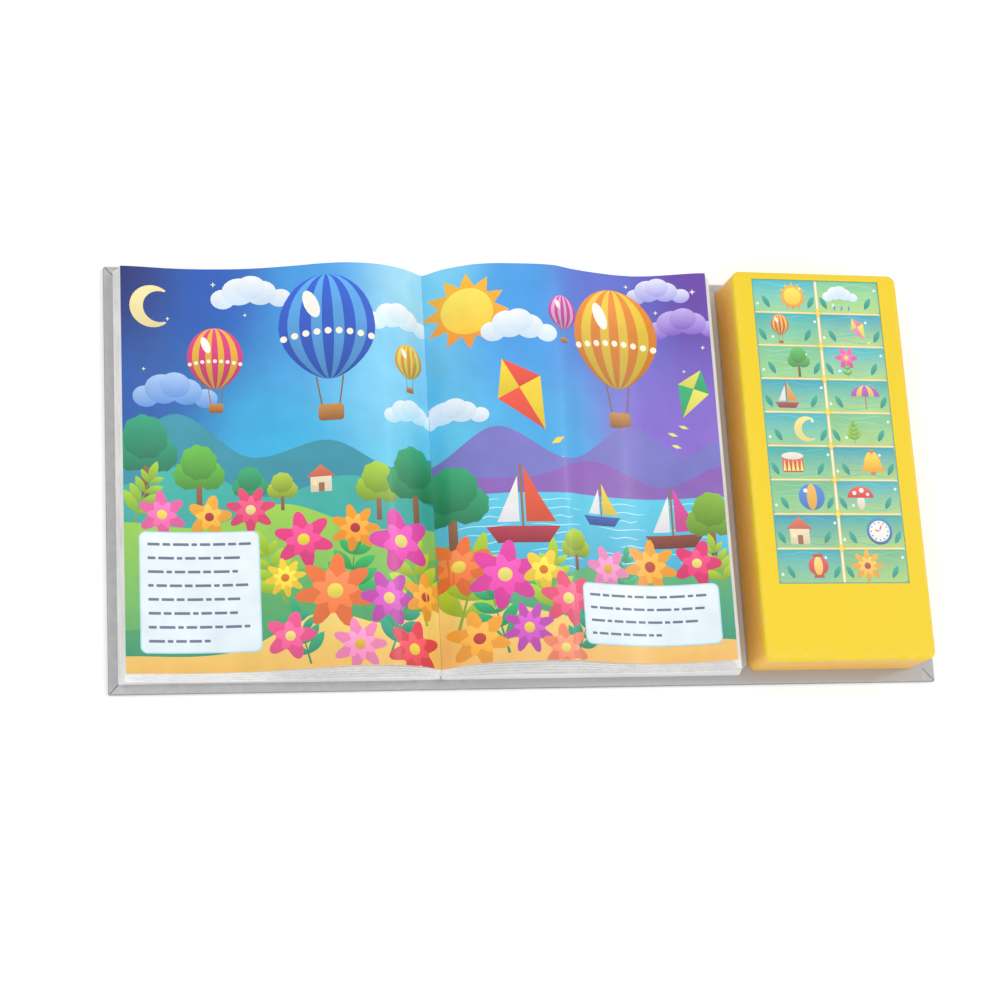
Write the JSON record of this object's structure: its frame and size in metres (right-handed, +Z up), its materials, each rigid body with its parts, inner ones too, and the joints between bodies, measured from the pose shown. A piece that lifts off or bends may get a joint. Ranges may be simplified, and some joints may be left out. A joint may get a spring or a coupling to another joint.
{
  "type": "sound book",
  "caption": "Open hardback children's book with a sound module of picture keys beside its leaves.",
  "frame": {"origin": "centre of the open cover's footprint, on the table", "axes": "+X across the open spread towards the sound module, +Y up the page, +Z up from the table"},
  "size_m": [0.5, 0.255, 0.035],
  "materials": {
    "cover_board": "grey printed paper over greyboard, faint sheen",
    "endpaper": "uncoated pale grey paper",
    "printed_leaves": "coated paper, full colour print, soft sheen",
    "orange_shell": "moulded, fine satin texture",
    "yellow_shell": "moulded, smooth satin",
    "picture_film": "printed film, glossy",
    "key_plastic": "moulded, plain",
    "switch_rubber": "silicone, matte",
    "circuit_laminate": "green solder mask",
    "chip_resin": "black resin drop",
    "steel": "plain zinc plated",
    "cell_steel": "bright steel",
    "magnet": "dark ferrite",
    "speaker_card": "black pressed card",
    "wire_red": "insulated wire",
    "wire_black": "insulated wire"
  },
  "bodies": {
    "back_cover": {"back_board": "cover_board", "back_endpaper": "endpaper", "right_pages": "printed_leaves", "base_shell": "orange_shell", "battery_door": "orange_shell", "top_cover": "yellow_shell", "picture_film": "picture_film", "switch_mat": "switch_rubber", "circuit_board": "circuit_laminate", "sound_chip": "chip_resin", "housing_screw_lower_left": "steel", "housing_screw_lower_right": "steel", "housing_screw_upper_left": "steel", "housing_screw_upper_right": "steel", "circuit_screw_lower_left": "steel", "circuit_screw_lower_right": "steel", "circuit_screw_upper_left": "steel", "circuit_screw_upper_right": "steel", "door_screw": "steel", "plain_contact": "steel", "spring_contact": "steel", "speaker_basket": "steel", "button_cell_first": "cell_steel", "button_cell_second": "cell_steel", "button_cell_third": "cell_steel", "speaker_magnet": "magnet", "speaker_cone": "speaker_card", "battery_wire_red": "wire_red", "speaker_wire_red": "wire_red", "battery_wire_black": "wire_black", "speaker_wire_black": "wire_black"},
    "spine": {"spine_strip": "cover_board"},
    "front_cover": {"front_board": "cover_board", "front_endpaper": "endpaper", "left_pages": "printed_leaves"},
    "key_row1_left": {"key_row1_left": "key_plastic"},
    "key_row1_right": {"key_row1_right": "key_plastic"},
    "key_row2_left": {"key_row2_left": "key_plastic"},
    "key_row2_right": {"key_row2_right": "key_plastic"},
    "key_row3_left": {"key_row3_left": "key_plastic"},
    "key_row3_right": {"key_row3_right": "key_plastic"},
    "key_row4_left": {"key_row4_left": "key_plastic"},
    "key_row4_right": {"key_row4_right": "key_plastic"},
    "key_row5_left": {"key_row5_left": "key_plastic"},
    "key_row5_right": {"key_row5_right": "key_plastic"},
    "key_row6_left": {"key_row6_left": "key_plastic"},
    "key_row6_right": {"key_row6_right": "key_plastic"},
    "key_row7_left": {"key_row7_left": "key_plastic"},
    "key_row7_right": {"key_row7_right": "key_plastic"},
    "key_row8_left": {"key_row8_left": "key_plastic"},
    "key_row8_right": {"key_row8_right": "key_plastic"},
    "key_row9_left": {"key_row9_left": "key_plastic"},
    "key_row9_right": {"key_row9_right": "key_plastic"}
  },
  "joints": [
    {"name": "spine_hinge", "type": "hinge", "parent": "back_cover", "child": "spine", "pos_m": [-0.05425, 0, 0.01075], "axis": [0, 1, 0], "range_deg": [0, 90]},
    {"name": "front_cover_hinge", "type": "hinge", "parent": "spine", "child": "front_cover", "pos_m": [-0.06775, 0, 0.01075], "axis": [0, 1, 0], "range_deg": [0, 90]},
    {"name": "row1_left_press", "type": "slide", "parent": "back_cover", "child": "key_row1_left", "axis": [0, 0, -1], "range_m": [0, 0.0008], "stiffness_N_per_m": 600, "springref_m": -0.0004},
    {"name": "row1_right_press", "type": "slide", "parent": "back_cover", "child": "key_row1_right", "axis": [0, 0, -1], "range_m": [0, 0.0008], "stiffness_N_per_m": 600, "springref_m": -0.0004},
    {"name": "row2_left_press", "type": "slide", "parent": "back_cover", "child": "key_row2_left", "axis": [0, 0, -1], "range_m": [0, 0.0008], "stiffness_N_per_m": 600, "springref_m": -0.0004},
    {"name": "row2_right_press", "type": "slide", "parent": "back_cover", "child": "key_row2_right", "axis": [0, 0, -1], "range_m": [0, 0.0008], "stiffness_N_per_m": 600, "springref_m": -0.0004},
    {"name": "row3_left_press", "type": "slide", "parent": "back_cover", "child": "key_row3_left", "axis": [0, 0, -1], "range_m": [0, 0.0008], "stiffness_N_per_m": 600, "springref_m": -0.0004},
    {"name": "row3_right_press", "type": "slide", "parent": "back_cover", "child": "key_row3_right", "axis": [0, 0, -1], "range_m": [0, 0.0008], "stiffness_N_per_m": 600, "springref_m": -0.0004},
    {"name": "row4_left_press", "type": "slide", "parent": "back_cover", "child": "key_row4_left", "axis": [0, 0, -1], "range_m": [0, 0.0008], "stiffness_N_per_m": 600, "springref_m": -0.0004},
    {"name": "row4_right_press", "type": "slide", "parent": "back_cover", "child": "key_row4_right", "axis": [0, 0, -1], "range_m": [0, 0.0008], "stiffness_N_per_m": 600, "springref_m": -0.0004},
    {"name": "row5_left_press", "type": "slide", "parent": "back_cover", "child": "key_row5_left", "axis": [0, 0, -1], "range_m": [0, 0.0008], "stiffness_N_per_m": 600, "springref_m": -0.0004},
    {"name": "row5_right_press", "type": "slide", "parent": "back_cover", "child": "key_row5_right", "axis": [0, 0, -1], "range_m": [0, 0.0008], "stiffness_N_per_m": 600, "springref_m": -0.0004},
    {"name": "row6_left_press", "type": "slide", "parent": "back_cover", "child": "key_row6_left", "axis": [0, 0, -1], "range_m": [0, 0.0008], "stiffness_N_per_m": 600, "springref_m": -0.0004},
    {"name": "row6_right_press", "type": "slide", "parent": "back_cover", "child": "key_row6_right", "axis": [0, 0, -1], "range_m": [0, 0.0008], "stiffness_N_per_m": 600, "springref_m": -0.0004},
    {"name": "row7_left_press", "type": "slide", "parent": "back_cover", "child": "key_row7_left", "axis": [0, 0, -1], "range_m": [0, 0.0008], "stiffness_N_per_m": 600, "springref_m": -0.0004},
    {"name": "row7_right_press", "type": "slide", "parent": "back_cover", "child": "key_row7_right", "axis": [0, 0, -1], "range_m": [0, 0.0008], "stiffness_N_per_m": 600, "springref_m": -0.0004},
    {"name": "row8_left_press", "type": "slide", "parent": "back_cover", "child": "key_row8_left", "axis": [0, 0, -1], "range_m": [0, 0.0008], "stiffness_N_per_m": 600, "springref_m": -0.0004},
    {"name": "row8_right_press", "type": "slide", "parent": "back_cover", "child": "key_row8_right", "axis": [0, 0, -1], "range_m": [0, 0.0008], "stiffness_N_per_m": 600, "springref_m": -0.0004},
    {"name": "row9_left_press", "type": "slide", "parent": "back_cover", "child": "key_row9_left", "axis": [0, 0, -1], "range_m": [0, 0.0008], "stiffness_N_per_m": 600, "springref_m": -0.0004},
    {"name": "row9_right_press", "type": "slide", "parent": "back_cover", "child": "key_row9_right", "axis": [0, 0, -1], "range_m": [0, 0.0008], "stiffness_N_per_m": 600, "springref_m": -0.0004}
  ],
  "couplings": [
    {"joint": "front_cover_hinge", "follows": "spine_hinge", "ratio": 1}
  ]
}
